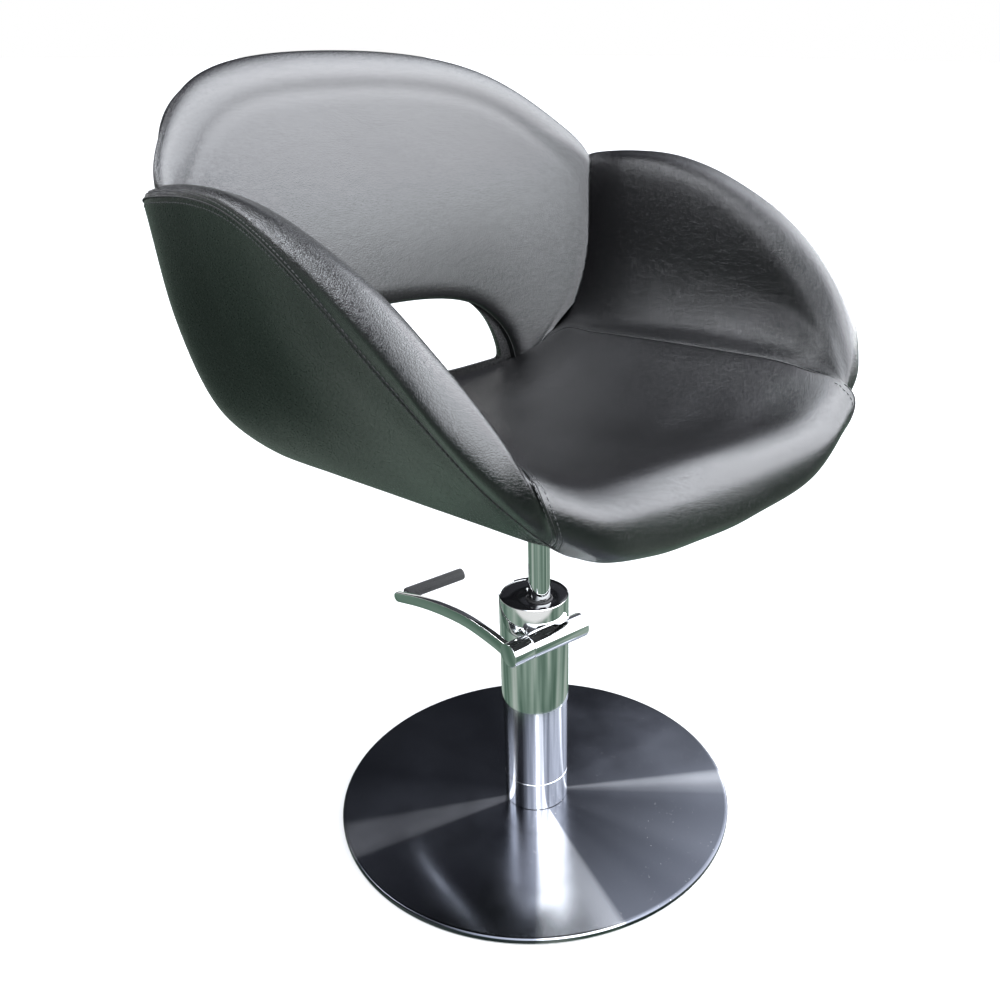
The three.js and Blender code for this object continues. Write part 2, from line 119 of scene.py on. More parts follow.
def tuck(grid, edges, depth, width, out, where=1.0):
    """Pulls the sheet in towards its sewn edges, as a seam does; where scales the depth."""
    n = normals(grid) * out
    pull = np.zeros(grid.shape[:2])
    for edge in edges:
        pull = np.maximum(pull, np.exp(-(from_edge(grid, edge) / width) ** 1.3))
    return grid - n * (depth * pull * where)[..., None]


def swell(grid, amount, scale, out, seed):
    """Slow unevenness of foam under a stretched cover."""
    r = np.random.default_rng(seed)
    n = normals(grid) * out
    h = np.zeros(grid.shape[:2])
    for _ in range(7):
        k = r.normal(size=3) / scale
        h += np.sin(grid @ k + r.uniform(0, 6.28))
    near = np.minimum(np.minimum(from_edge(grid, "first"), from_edge(grid, "last")),
                      np.minimum(from_edge(grid, "left"), from_edge(grid, "right")))
    h *= 1 - np.exp(-(near / 16) ** 2)
    return grid + n * (amount * h / 3)[..., None]


def relax(grid, weight, rounds):
    """Fairs the inside of a sheet where weight is above 0, keeping its fullness; its edges stay."""
    g = grid.copy()
    w = weight[1:-1, 1:-1, None]
    for k in range(2 * rounds):
        mean = (g[:-2, 1:-1] + g[2:, 1:-1] + g[1:-1, :-2] + g[1:-1, 2:]) / 4
        g[1:-1, 1:-1] += w * (0.7 if k % 2 == 0 else -0.69) * (mean - g[1:-1, 1:-1])
    return g


def mirror(grid):
    out = np.array(grid, float)
    out[..., 0] *= -1
    return out


SIDES = (("left", np.array), ("right", mirror))


# -------------------- mesh building
def to_object(name, verts, faces, material, angle=35, body="seat", offset=True):
    v = np.asarray(verts, float).copy()
    if offset:
        v[:, 1] += ROD_Y
    mesh = bpy.data.meshes.new(name)
    mesh.from_pydata((v / 1000).tolist(), [], faces)
    bm = bmesh.new()
    bm.from_mesh(mesh)
    bmesh.ops.remove_doubles(bm, verts=bm.verts, dist=2e-5)
    bmesh.ops.recalc_face_normals(bm, faces=bm.faces)
    if bm.calc_volume(signed=True) < 0:
        bmesh.ops.reverse_faces(bm, faces=bm.faces)
    bm.to_mesh(mesh)
    bm.free()
    mesh.polygons.foreach_set("use_smooth", [True] * len(mesh.polygons))
    mesh.set_sharp_from_angle(angle=math.radians(angle))
    mesh.materials.append(material)
    obj = bpy.data.objects.new(name, mesh)
    SCENE.collection.objects.link(obj)
    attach(obj, body)
    return obj


def shell(top, bottom, loop=False):
    """Vertices and faces of a closed body between two sheets of one size."""
    nu, nv = top.shape[:2]
    verts = np.concatenate([top.reshape(-1, 3), bottom.reshape(-1, 3)])
    faces = []
    rows = nu if loop else nu - 1

    def at(s, i, j):
        return s * nu * nv + (i % nu) * nv + j

    for i in range(rows):
        for j in range(nv - 1):
            faces.append((at(0, i, j), at(0, i + 1, j), at(0, i + 1, j + 1), at(0, i, j + 1)))
            faces.append((at(1, i, j), at(1, i, j + 1), at(1, i + 1, j + 1), at(1, i + 1, j)))
        faces.append((at(0, i + 1, 0), at(0, i, 0), at(1, i, 0), at(1, i + 1, 0)))
        faces.append((at(0, i, nv - 1), at(0, i + 1, nv - 1), at(1, i + 1, nv - 1), at(1, i, nv - 1)))
    if not loop:
        for j in range(nv - 1):
            faces.append((at(0, 0, j), at(0, 0, j + 1), at(1, 0, j + 1), at(1, 0, j)))
            faces.append((at(0, nu - 1, j + 1), at(0, nu - 1, j), at(1, nu - 1, j), at(1, nu - 1, j + 1)))
    return verts, faces


def ring_faces(rings, count):
    """Quads between successive rings of count points."""
    return [(k * count + q, k * count + (q + 1) % count,
             (k + 1) * count + (q + 1) % count, (k + 1) * count + q)
            for k in range(rings - 1) for q in range(count)]


def capped_faces(rings, count):
    """The same with a flat face over each end."""
    last = (rings - 1) * count
    return ring_faces(rings, count) + [tuple(range(count - 1, -1, -1)), tuple(last + q for q in range(count))]


def turned(name, profile, material, body, segments=128, centre=(0, 0), axis="Z"):
    """A turned part: profile of (radius, height) in mm; closes on the axis or on itself."""
    pts = list(profile)
    if pts[0][0] > 1e-6:
        pts.append(pts[0])
    a = np.linspace(0, 2 * np.pi, segments, endpoint=False)
    v = np.array([(r * math.cos(t), r * math.sin(t), h) for r, h in pts for t in a])
    if axis == "X":
        v = v[:, [2, 0, 1]]
        v += (0, centre[0], centre[1])
    else:
        v += (centre[0], centre[1], 0)
    return to_object(name, v, ring_faces(len(pts), segments), material, 35, body, offset=False)


def soft_corners(profile, radius):
    """Rounds the corners of an open (radius, height) profile that starts and ends on the axis."""
    steps = 4
    p = [np.array(q, float) for q in profile]
    out = [p[0]]
    for a, b, c in zip(p, p[1:], p[2:]):
        u, w = a - b, c - b
        r = min(radius, 0.45 * np.linalg.norm(u), 0.45 * np.linalg.norm(w))
        s, e = b + u / np.linalg.norm(u) * r, b + w / np.linalg.norm(w) * r
        for k in range(steps + 1):
            t = k / steps
            out.append((1 - t) ** 2 * s + 2 * t * (1 - t) * b + t * t * e)
    out.append(p[-1])
    return [tuple(q) for q in out]


def stitches(name, line, normal, material):
    """Thread seen as short rounded dashes along a line on the cover."""
    length, gap, radius, lift = 4.2, 2.0, 0.55, 0.1
    line = np.asarray(line, float)
    normal = np.asarray(normal, float)
    d = np.r_[0, np.cumsum(np.linalg.norm(np.diff(line, axis=0), axis=1))]
    verts, faces = [], []
    count = int(d[-1] // (length + gap))
    for k in range(count):
        ts = np.linspace(k * (length + gap), k * (length + gap) + length, 5)
        c = np.stack([np.interp(ts, d, line[:, q]) for q in range(3)], 1)
        n = np.stack([np.interp(ts, d, normal[:, q]) for q in range(3)], 1)
        n /= np.linalg.norm(n, axis=1, keepdims=True)
        t = c[-1] - c[0]
        t /= np.linalg.norm(t) + 1e-9
        b = np.cross(n, t)
        start = len(verts)
        for m, (cc, nn, bb) in enumerate(zip(c, n, b)):
            s = math.sin(math.pi * (0.12 + 0.76 * m / 4))
            for q in range(6):
                a = q * math.pi / 3
                verts.append(cc + nn * (lift + radius * s * math.sin(a)) + bb * radius * s * math.cos(a))
        for m in range(4):
            for q in range(6):
                w = (q + 1) % 6
                faces.append((start + m * 6 + q, start + m * 6 + w,
                              start + (m + 1) * 6 + w, start + (m + 1) * 6 + q))
        faces.append(tuple(start + q for q in range(5, -1, -1)))
        faces.append(tuple(start + 24 + q for q in range(6)))
    return to_object(name, np.array(verts), faces, material, 60)


# -------------------- materials
def material(name, color, rough, metal=0.0):
    m = bpy.data.materials.new(name)
    m.use_nodes = True
    b = m.node_tree.nodes["Principled BSDF"]
    b.inputs["Base Color"].default_value = (*color, 1)
    b.inputs["Roughness"].default_value = rough
    b.inputs["Metallic"].default_value = metal
    return m, m.node_tree, b


def node(tree, kind, **values):
    n = tree.nodes.new(kind)
    for key, value in values.items():
        if key in n.inputs:
            n.inputs[key].default_value = value
        else:
            setattr(n, key, value)
    return n


def noise(tree, scale, detail=4.0, rough=0.55, stretch=None):
    co = tree.nodes.new("ShaderNodeTexCoord")
    n = node(tree, "ShaderNodeTexNoise", Scale=scale, Detail=detail, Roughness=rough)
    src = co.outputs["Object"]
    if stretch:
        m = node(tree, "ShaderNodeMapping", Scale=stretch)
        tree.links.new(src, m.inputs["Vector"])
        src = m.outputs["Vector"]
    tree.links.new(src, n.inputs["Vector"])
    return n


def remap(tree, source, low, high, a=0.3, b=0.7):
    r = tree.nodes.new("ShaderNodeMapRange")
    r.inputs["From Min"].default_value = a
    r.inputs["From Max"].default_value = b
    r.inputs["To Min"].default_value = low
    r.inputs["To Max"].default_value = high
    tree.links.new(source, r.inputs["Value"])
    return r.outputs["Result"]


def ramp(tree, source, stops):
    r = tree.nodes.new("ShaderNodeValToRGB")
    while len(r.color_ramp.elements) < len(stops):
        r.color_ramp.elements.new(0.5)
    for e, (p, c) in zip(r.color_ramp.elements, stops):
        e.position = p
        e.color = (*c, 1)
    tree.links.new(source, r.inputs["Fac"])
    return r.outputs["Color"]


def bump(tree, shader, layers):
    """Stacks bump maps: (height output, strength, distance in metres)."""
    last = None
    for height, strength, distance in layers:
        n = node(tree, "ShaderNodeBump", Strength=strength, Distance=distance)
        tree.links.new(height, n.inputs["Height"])
        if last:
            tree.links.new(last, n.inputs["Normal"])
        last = n.outputs["Normal"]
    tree.links.new(last, shader.inputs["Normal"])


def leather(name, tint, rough, crease, grain, gloss):
    """Embossed leatherette: fine cells and pores, slow creases, slightly uneven shine."""
    m, t, b = material(name, tint, 0.36)
    co = t.nodes.new("ShaderNodeTexCoord")
    warp = node(t, "ShaderNodeTexNoise", Scale=180.0, Detail=2.0)
    t.links.new(co.outputs["Object"], warp.inputs["Vector"])
    mix = node(t, "ShaderNodeMix", data_type="VECTOR")
    mix.inputs["Factor"].default_value = 0.004
    t.links.new(co.outputs["Object"], mix.inputs[4])
    t.links.new(warp.outputs["Color"], mix.inputs[5])
    cells = node(t, "ShaderNodeTexVoronoi", feature="DISTANCE_TO_EDGE", Scale=430.0)
    t.links.new(mix.outputs[1], cells.inputs["Vector"])
    fine = noise(t, 1100.0, 3.0)
    pores = noise(t, 360.0, 6.0, 0.7)
    wide = noise(t, 7.0, 3.0)
    creases = noise(t, 34.0, 5.0, 0.6, (1.0, 1.0, 1.6))
    t.links.new(ramp(t, wide.outputs["Fac"], [(0.3, tuple(c * 0.7 for c in tint)),
                                              (0.7, tuple(c * 1.4 for c in tint))]), b.inputs["Base Color"])
    t.links.new(remap(t, pores.outputs["Fac"], rough[0], rough[1]), b.inputs["Roughness"])
    b.inputs["Specular IOR Level"].default_value = gloss
    bump(t, b, [(creases.outputs["Fac"], crease, 0.0014),
                (pores.outputs["Fac"], 0.7 * grain, 0.0006),
                (remap(t, cells.outputs["Distance"], 0.0, 1.0, 0.0, 0.22), 0.6 * grain, 0.00024),
                (fine.outputs["Fac"], 0.3 * grain, 0.00006)])
    return m


def thread():
    m, t, b = material("black_thread", (0.004, 0.004, 0.0042), 0.55)
    w = noise(t, 1800.0, 2.0, 0.5, (1, 1, 3))
    t.links.new(ramp(t, w.outputs["Fac"], [(0.3, (0.012, 0.012, 0.013)), (0.7, (0.03, 0.03, 0.031))]),
                b.inputs["Base Color"])
    bump(t, b, [(w.outputs["Fac"], 0.6, 0.0002)])
    return m


def chrome():
    color = (0.78, 0.79, 0.79)
    m, t, b = material("chrome", color, 0.06, 1.0)
    smear = noise(t, 22.0, 4.0, 0.6)
    fine = noise(t, 240.0, 2.0, 0.5, (1, 1, 0.15))
    t.links.new(remap(t, smear.outputs["Fac"], 0.035, 0.09), b.inputs["Roughness"])
    t.links.new(ramp(t, smear.outputs["Fac"], [(0.3, tuple(c * 0.92 for c in color)), (0.7, color)]),
                b.inputs["Base Color"])
    bump(t, b, [(fine.outputs["Fac"], 0.03, 0.0002)])
    return m


def tube_steel():
    """Polished steel tube with fine lengthwise draw lines, and lengthwise bands of painted reflection, dark
    and bright, in its colour.
    """
    m, t, b = material("polished_steel_tube", (0.66, 0.66, 0.67), 0.16, 1.0)
    lines = noise(t, 900.0, 3.0, 0.6, (1, 1, 0.012))
    smear = noise(t, 16.0, 4.0, 0.6)
    wide = noise(t, 95.0, 3.0, 0.6, (1, 1, 0.02))
    t.links.new(remap(t, lines.outputs["Fac"], 0.08, 0.2), b.inputs["Roughness"])
    # painted reflection: lengthwise dark and bright bands in the base colour stand for the surroundings
    # mirrored in the tube
    t.links.new(ramp(t, wide.outputs["Fac"], [(0.36, (0.3, 0.31, 0.34)), (0.5, (0.62, 0.63, 0.65)),
                                              (0.64, (0.92, 0.92, 0.93))]), b.inputs["Base Color"])
    bump(t, b, [(wide.outputs["Fac"], 0.25, 0.0008), (lines.outputs["Fac"], 0.1, 0.0001),
                (smear.outputs["Fac"], 0.05, 0.0005)])
    return m


def turned_steel():
    """Spun stainless disc: rings of fine tool marks about the centre, dust and scuffs, and radial wedges of
    painted highlight in its colour.
    """
    m, t, b = material("turned_stainless", (0.1, 0.1, 0.11), 0.2, 1.0)
    co = t.nodes.new("ShaderNodeTexCoord")
    xyz = t.nodes.new("ShaderNodeSeparateXYZ")
    t.links.new(co.outputs["Object"], xyz.inputs["Vector"])
    flat = t.nodes.new("ShaderNodeCombineXYZ")
    t.links.new(xyz.outputs["X"], flat.inputs["X"])
    t.links.new(xyz.outputs["Y"], flat.inputs["Y"])
    size = node(t, "ShaderNodeVectorMath", operation="LENGTH")
    t.links.new(flat.outputs["Vector"], size.inputs[0])
    ring = t.nodes.new("ShaderNodeCombineXYZ")
    t.links.new(size.outputs["Value"], ring.inputs["X"])
    marks = node(t, "ShaderNodeTexNoise", Scale=700.0, Detail=3.0, Roughness=0.6)
    t.links.new(ring.outputs["Vector"], marks.inputs["Vector"])
    around = node(t, "ShaderNodeTexGradient", gradient_type="RADIAL")
    t.links.new(flat.outputs["Vector"], around.inputs["Vector"])
    painted_highlight_angle = t.nodes.new("ShaderNodeCombineXYZ")
    t.links.new(around.outputs["Fac"], painted_highlight_angle.inputs["X"])
    painted_highlight_wedge = node(t, "ShaderNodeTexNoise", Scale=9.0, Detail=2.0, Roughness=0.5)
    t.links.new(painted_highlight_angle.outputs["Vector"], painted_highlight_wedge.inputs["Vector"])
    grit = node(t, "ShaderNodeTexVoronoi", Scale=210.0, Randomness=1.0)
    t.links.new(co.outputs["Object"], grit.inputs["Vector"])
    here = noise(t, 70.0, 3.0, 0.6)
    cloud = noise(t, 7.0, 4.0, 0.6)
    tangent = node(t, "ShaderNodeTangent", direction_type="RADIAL", axis="Z")
    t.links.new(tangent.outputs["Tangent"], b.inputs["Tangent"])
    b.inputs["Anisotropic"].default_value = 0.6
    # painted highlight: the base colour turns bright in a few radial wedges, standing for the sky's
    # reflection in the turned grooves
    disc_tone_with_painted_highlights = ramp(t, painted_highlight_wedge.outputs["Fac"], [(0.3, (0.05, 0.054, 0.066)), (0.56, (0.085, 0.09, 0.105)),
                                             (0.6, (0.26, 0.265, 0.28)), (0.75, (0.4, 0.4, 0.42))])
    dots = remap(t, grit.outputs["Distance"], 1, 0, 0.06, 0.13)
    patch = remap(t, here.outputs["Fac"], 0, 1, 0.5, 0.62)
    specks = node(t, "ShaderNodeMath", operation="MULTIPLY")
    t.links.new(dots, specks.inputs[0])
    t.links.new(patch, specks.inputs[1])
    mix = node(t, "ShaderNodeMix", data_type="RGBA")
    fac = node(t, "ShaderNodeMath", operation="MULTIPLY")
    fac.inputs[1].default_value = 0.8
    t.links.new(specks.outputs["Value"], fac.inputs[0])
    t.links.new(fac.outputs["Value"], mix.inputs["Factor"])
    t.links.new(disc_tone_with_painted_highlights, mix.inputs[6])
    mix.inputs[7].default_value = (0.5, 0.49, 0.47, 1)
    t.links.new(mix.outputs[2], b.inputs["Base Color"])
    t.links.new(remap(t, cloud.outputs["Fac"], 0.12, 0.24), b.inputs["Roughness"])
    bump(t, b, [(marks.outputs["Fac"], 0.1, 0.0001)])
    return m


def gloss_black():
    m, t, b = material("gloss_black", (0.006, 0.006, 0.007), 0.08)
    n = noise(t, 60.0, 3.0)
    t.links.new(remap(t, n.outputs["Fac"], 0.05, 0.14), b.inputs["Roughness"])
    bump(t, b, [(n.outputs["Fac"], 0.02, 0.0003)])
    b.inputs["Coat Weight"].default_value = 0.5
    return m


def plain(name, dark, light, rough, metal=0.0, scale=60.0, strength=0.15, distance=0.0004, stretch=None):
    m, t, b = material(name, dark, rough, metal)
    n = noise(t, scale, 5.0, 0.6, stretch)
    t.links.new(ramp(t, n.outputs["Fac"], [(0.3, dark), (0.7, light)]), b.inputs["Base Color"])
    t.links.new(remap(t, n.outputs["Fac"], rough * 0.8, min(1.0, rough * 1.2)), b.inputs["Roughness"])
    bump(t, b, [(n.outputs["Fac"], strength, distance)])
    return m


LEATHER = leather("black_leatherette", (0.0016, 0.0016, 0.0018), (0.17, 0.26), 0.3, 1.0, 0.6)
PANEL_LEATHER = leather("black_leatherette_panel", (0.0012, 0.0012, 0.0012), (0.22, 0.3), 0.15, 0.6, 0.26)
THREAD = thread()
# painted shade: near-black matt material for the rods laid in the seams' grooves
SEAM_SHADOW = plain("seam_shadow", (0.0008, 0.0008, 0.0008), (0.0015, 0.0015, 0.0015), 0.7, scale=600.0)
CHROME = chrome()
TUBE = tube_steel()
DISC = turned_steel()
GLOSS = gloss_black()
RUBBER = plain("black_rubber", (0.012, 0.012, 0.012), (0.03, 0.03, 0.031), 0.7, scale=300.0)
GREY_RUBBER = plain("grey_rubber", (0.18, 0.18, 0.18), (0.3, 0.3, 0.29), 0.75, scale=200.0)
CAST = plain("cast_iron", (0.05, 0.05, 0.052), (0.11, 0.11, 0.11), 0.65, 0.7, 120.0, 0.5, 0.0008)
ZINC = plain("zinc_steel", (0.4, 0.41, 0.43), (0.55, 0.56, 0.58), 0.34, 1.0, 90.0, 0.1)
BLACK_STEEL = plain("black_steel", (0.012, 0.012, 0.013), (0.03, 0.03, 0.03), 0.42, 0.0, 500.0, 0.35)
PLY = plain("plywood", (0.42, 0.28, 0.15), (0.62, 0.45, 0.27), 0.6, 0.0, 40.0, 0.2, 0.0005, (1, 8, 8))
FELT = plain("black_lining", (0.01, 0.01, 0.01), (0.035, 0.035, 0.035), 0.9, 0.0, 900.0, 0.8, 0.0005)

# looks of the inner CAD pieces that no finer piece replaces
CAD_LOOK = {
    "base_weight_plate": CAST, "pump_flange": ZINC, "pump_cylinder": ZINC, "pump_barrel": ZINC,
    "plunger": ZINC, "pedal_shaft": ZINC, "seat_mount_plate": BLACK_STEEL, "underside_cover": FELT,
    "seat_board": PLY, "side_frame_left": PLY, "side_frame_right": PLY, "back_board": PLY,
}
for i in range(1, 5):
    CAD_LOOK[f"flange_bolt_{i}"] = ZINC
    CAD_LOOK[f"plate_bolt_{i}"] = ZINC
for name, look in CAD_LOOK.items():
    nodes[name].data.materials.clear()
    nodes[name].data.materials.append(look)


# -------------------- the tub's nets (mm, about the swivel axis)
# SEAT and ARM run from front to rear, PANEL from the rim seam down; the arm starts at the front seam
SEAT = [
    [[0, -232, 508], [58, -228, 508], [84, -212, 508], [108, -200, 508]],
    [[0, -258, 513], [60, -253, 514], [112, -222, 516], [140, -214, 528]],
    [[0, -276, 527], [66, -276, 528], [132, -262, 534], [167, -232, 549]],
    [[0, -286, 545], [75, -290, 548], [145, -293, 559], [201, -278, 585]],
    [[0, -280, 580], [78, -286, 585], [157, -296, 598], [218, -285, 620]],
    [[0, -252, 601], [80, -256, 603], [153, -266, 614], [217, -267, 641]],
    [[0, -205, 597], [80, -207, 599], [150, -212, 612], [208, -222, 647]],
    [[0, -160, 590], [78, -162, 592], [150, -166, 610], [208, -175, 648]],
    [[0, -100, 582], [75, -100, 585], [150, -102, 606], [208, -110, 643]],
    [[0, -15, 572], [75, -15, 576], [150, -18, 600], [208, -20, 635]],
    [[0, 75, 563], [75, 75, 567], [150, 72, 591], [208, 70, 626]],
    [[0, 150, 557], [75, 150, 561], [148, 146, 583], [208, 140, 618]],
    [[0, 225, 550], [80, 224, 553], [152, 214, 570], [209, 200, 611]],
    [[0, 300, 541], [85, 298, 543], [158, 284, 552], [204, 262, 572]],
]
ARM = [
    [[217, -267, 641], [219, -275, 634], [220, -280, 627], [218, -285, 620], [212, -286, 611],
     [201, -278, 585], [167, -232, 549]],
    [[208, -222, 647], [216, -228, 658], [222, -234, 668], [229, -242, 674], [241, -253, 676],
     [252, -256, 642], [222, -224, 604]],
    [[208, -175, 648], [225, -179, 663], [236, -184, 690], [243, -190, 718], [262, -203, 734],
     [285, -214, 700], [254, -212, 646]],
    [[208, -110, 643], [231, -112, 662], [246, -115, 702], [253, -119, 761], [276, -127, 783],
     [299, -136, 760], [286, -152, 714]],
    [[208, -20, 635], [236, -20, 655], [255, -20, 706], [265, -22, 799], [288, -27, 819],
     [305, -34, 808], [307, -42, 789]],
    [[208, 70, 626], [238, 70, 645], [260, 70, 706], [271, 72, 816], [294, 75, 838],
     [308, 70, 835], [310, 62, 823]],
    [[208, 140, 618], [240, 147, 636], [264, 150, 702], [276, 158, 816], [296, 165, 838],
     [308, 160, 837], [313, 152, 830]],
    [[209, 200, 611], [246, 212, 630], [272, 212, 700], [286, 222, 800], [298, 240, 830],
     [310, 243, 829], [317, 243, 822]],
    [[204, 262, 572], [250, 270, 610], [280, 262, 700], [292, 266, 795], [299, 276, 818],
     [307, 280, 820], [312, 280, 814]],
]
PANEL = [
    [[104, -216, 512], [102, -215, 510], [101, -213, 509], [100, -211, 508]],
    [[167, -232, 549], [152, -224, 536], [130, -212, 520], [108, -200, 508]],
    [[222, -224, 604], [196, -212, 575], [158, -196, 540], [116, -176, 508]],
    [[254, -212, 646], [224, -194, 603], [178, -170, 552], [124, -145, 508]],
    [[286, -152, 714], [254, -133, 648], [203, -108, 572], [138, -85, 508]],
    [[307, -42, 789], [276, -31, 698], [226, -18, 596], [155, -5, 508]],
    [[310, 62, 823], [288, 64, 718], [242, 67, 602], [171, 70, 508]],
    [[313, 152, 830], [299, 152, 718], [259, 151, 598], [189, 150, 508]],
    [[319, 243, 822], [311, 248, 692], [274, 248, 580], [209, 243, 508]],
    [[311, 282, 812], [299, 288, 683], [264, 288, 575], [207, 288, 508]],
    [[286, 300, 804], [276, 306, 683], [246, 306, 580], [190, 310, 508]],
]
ARCH = [[160, 559], [152, 600], [120, 641], [70, 661], [0, 667]]
OUTLINE = [[212, 600], [262, 664], [286, 760], [301, 832], [275, 872], [200, 928], [0, 955]]
SILL = [[0, 549], [100, 551], [156, 557]]
REAR_EDGE = [[0, 508], [110, 508], [188, 508], [243, 580], [273, 683], [284, 800], [272, 872],
             [198, 926], [0, 953]]


def board_x(y):
    """Half width of the seat board where the side frames stand."""
    return catmull([[100], [124], [144], [163], [182], [203], [209]],
                   np.clip((np.atleast_1d(y) + 213) / 79, 0, 6))[:, 0] - 24


def back_mid(x, z):
    """y of the back's leaning, curved mid surface."""
    h = z - 559
    return 300 + 0.12 * h + 0.0004 * h * h - 0.0004 * x * x - 0.7e-8 * x ** 4


# -------------------- seat cushion and arm padding
def full_width(net):
    """The net with its mirror image, from the right edge to the left one."""
    net = np.asarray(net, float)
    left = net[:, :0:-1].copy()
    left[..., 0] *= -1
    return np.concatenate([left, net], axis=1)


def arm_low():
    """Stations of the arm's lining: up from the seat board, behind the side panel, to the rim."""
    inner = -13.5           # from the panel's stations, towards the centre
    rows = []
    for i, row in enumerate(ARM):
        s, m1, m2, b = (np.array(p, float) for p in PANEL[i + 1])
        f = row[0]
        foot = np.array([board_x(f[1])[0] + 0.8, min(f[1], REAR_Y), BOARD_TOP])
        if i == 0:
            rows.append([np.array([board_x(FRONT_Y)[0] + 0.8, FRONT_Y, BOARD_TOP])] * 7)
            continue
        if i <= 2:          # at the front corner the wall faces forward, so its lining lies further back
            s, m1, m2, b = (p + (2, 12, 3) for p in (s, m1, m2, b))
        rows.append([foot, b + (inner, 0, 6), m2 + (inner, 0, 2), m1 + (inner, 0, 0),
                     s + (m1 - s) * 0.22 + (inner, 0, 0), s + (m1 - s) * 0.1 + (-10, 0, 0),
                     s + (-4.5, 0, -5)])
    return np.array(rows)


def panel_net():
    """Stations of the side panel, with the strip that turns in under the tub."""
    rows = []
    for i, (s, m1, m2, b) in enumerate(np.array(PANEL, float)):
        if 3 <= i <= 8:     # the lower edge swells out between its ends
            b = b + (5, 0, 0)
        if 6 <= i <= 9:
            m1 = m1 - (4, 0, 0)
        rows.append([s, m1, m2, b + (0, 0, 3), b + (-34 if b[0] > 105 else -20, 4, 1.2)])
    return np.array(rows)


def keep_inside(low):
    """Moves the lining's front and outer part to lie behind the side panel."""
    wall = sheet(panel_net(), spread(10, 90), spread(3, 46))
    out = normals(wall)
    out = (out * np.sign(out[45, 15, 0])).reshape(-1, 3)
    wall = wall.reshape(-1, 3)
    part = low[:62, 50:]
    for row in part:
        near = np.linalg.norm(row[:, None] - wall[None], axis=2).argmin(1)
        over = np.einsum("ij,ij->i", row - wall[near], out[near]) + LINING_GAP
        row -= out[near] * np.clip(over, 0, 16)[:, None]
    return low


def arm_grid():
    """The arm's cover and lining, and how far fairing moved the front seam."""
    tu, tv = spread(8, ARM_ROWS, 0.2), spread(6, ARM_COLUMNS, 0.4)
    top = sheet(ARM, tu, tv)
    edge = catmull(np.array(SEAT, float)[2:, 3], 3 - tv / 2)
    top = top + smooth(1 - tu / 0.9)[:, None, None] * (edge - top[0])[None]
    # its outer edge is the rim seam, which the side panel shares
    rim = catmull(np.array(PANEL, float)[:, 0], tu + 1)
    top = top + smooth((tv - 4.6) / 1.4)[None, :, None] * (rim - top[:, -1])[:, None]
    low = keep_inside(sheet(arm_low(), tu, tv))
    # the cover runs smoothly over the front seam, so both sides of it are faired as one
    tj = np.linspace(2, 3, 41)
    front = sheet(SEAT, 5 - tv / 2, tj).transpose(1, 0, 2)[:-1]
    near = np.r_[np.clip((tj[:-1] - 2) / 0.3, 0, 1), np.clip((1.8 - tu) / 1.0, 0, 1)]
    faired = relax(np.concatenate([front, top]), near[:, None] * np.ones(len(tv))[None], 420)[40:]
    return faired, low, 3 - tv / 2, faired[0] - top[0]


arm_top, arm_under, seam_t, seam_shift = arm_grid()


def seat_cushion():
    net = full_width(SEAT)
    n = len(SEAT) - 1
    tu, tv = spread(n, CUSHION_ROWS, 0.15), spread(6, CUSHION_COLUMNS, 0.5)
    grid = sheet(net, tu, tv)
    order = np.argsort(seam_t)
    # the faired front seam carries the cushion's edge with it
    shift = np.stack([np.interp(tu - 2, seam_t[order], seam_shift[order, q], left=0, right=0)
                      for q in range(3)], 1)
    blend = smooth(np.abs(tv - 3) - 2)
    hand = np.sign(tv - 3)[None, :, None] * [1, 0, 0] + [0, 1, 1]
    grid = grid + shift[:, None] * blend[None, :, None] * hand
    low = []
    for i, row in enumerate(SEAT):
        y = [-222, -226, -230, -232, -235, -231][i] if i < 6 else min(row[0][1], REAR_Y)
        low.append([[float(board_x(y)[0]) * j / 3, y, float(BOARD_TOP)] for j in range(4)])
    under = sheet(full_width(low), tu, tv)
    up = np.sign(normals(grid)[150, 100, 2])
    grid = swell(grid, 0.7, 42.0, up, 3)
    # the seam lies flat where the front corner is sharpest
    grid = tuck(grid, ["left", "right"], TUCK_DEPTH, TUCK_WIDTH, up,
                1 - np.exp(-((tu - 5) / 0.8) ** 2)[:, None])
    verts, faces = shell(grid, under)
    obj = to_object("seat_cushion_cover", verts, faces, LEATHER, 50)
    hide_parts("seat_cushion")
    return grid, up


seat_grid, seat_up = seat_cushion()

arm_out = np.sign(normals(arm_top)[100, 110, 0])
arm_top = swell(arm_top, 0.6, 38.0, arm_out, 5)
corner = np.hypot(spread(8, ARM_ROWS, 0.2)[:, None], spread(6, ARM_COLUMNS, 0.4)[None, :] / 2)
arm_top = tuck(arm_top, ["first", "left", "right"], TUCK_DEPTH, TUCK_WIDTH, arm_out,
               1 - np.exp(-(corner / 0.8) ** 2))
for side, turn in SIDES:
    verts, faces = shell(turn(arm_top), turn(arm_under))
    pad = to_object(f"arm_cover_{side}", verts, faces, LEATHER, 50)
    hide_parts(f"arm_pad_{side}")


# -------------------- outer side panels
panel_grid = sheet(panel_net(), spread(10, PANEL_ROWS),
                   np.r_[spread(3, PANEL_COLUMNS), np.linspace(3, 4, 14)[1:]])
panel_out = np.sign(normals(panel_grid)[90, 30, 0])
panel_grid[..., 2] = np.maximum(panel_grid[..., 2], UNDERSIDE)
panel_grid = tuck(panel_grid, ["left"], 1.3, 3.2, panel_out)
panel_in = panel_grid - normals(panel_grid) * panel_out * PANEL_THICKNESS
for side, turn in SIDES:
    verts, faces = shell(turn(panel_grid), turn(panel_in))
    panel = to_object(f"side_panel_cover_{side}", verts, faces, PANEL_LEATHER, 50)
    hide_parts(f"side_panel_{side}")


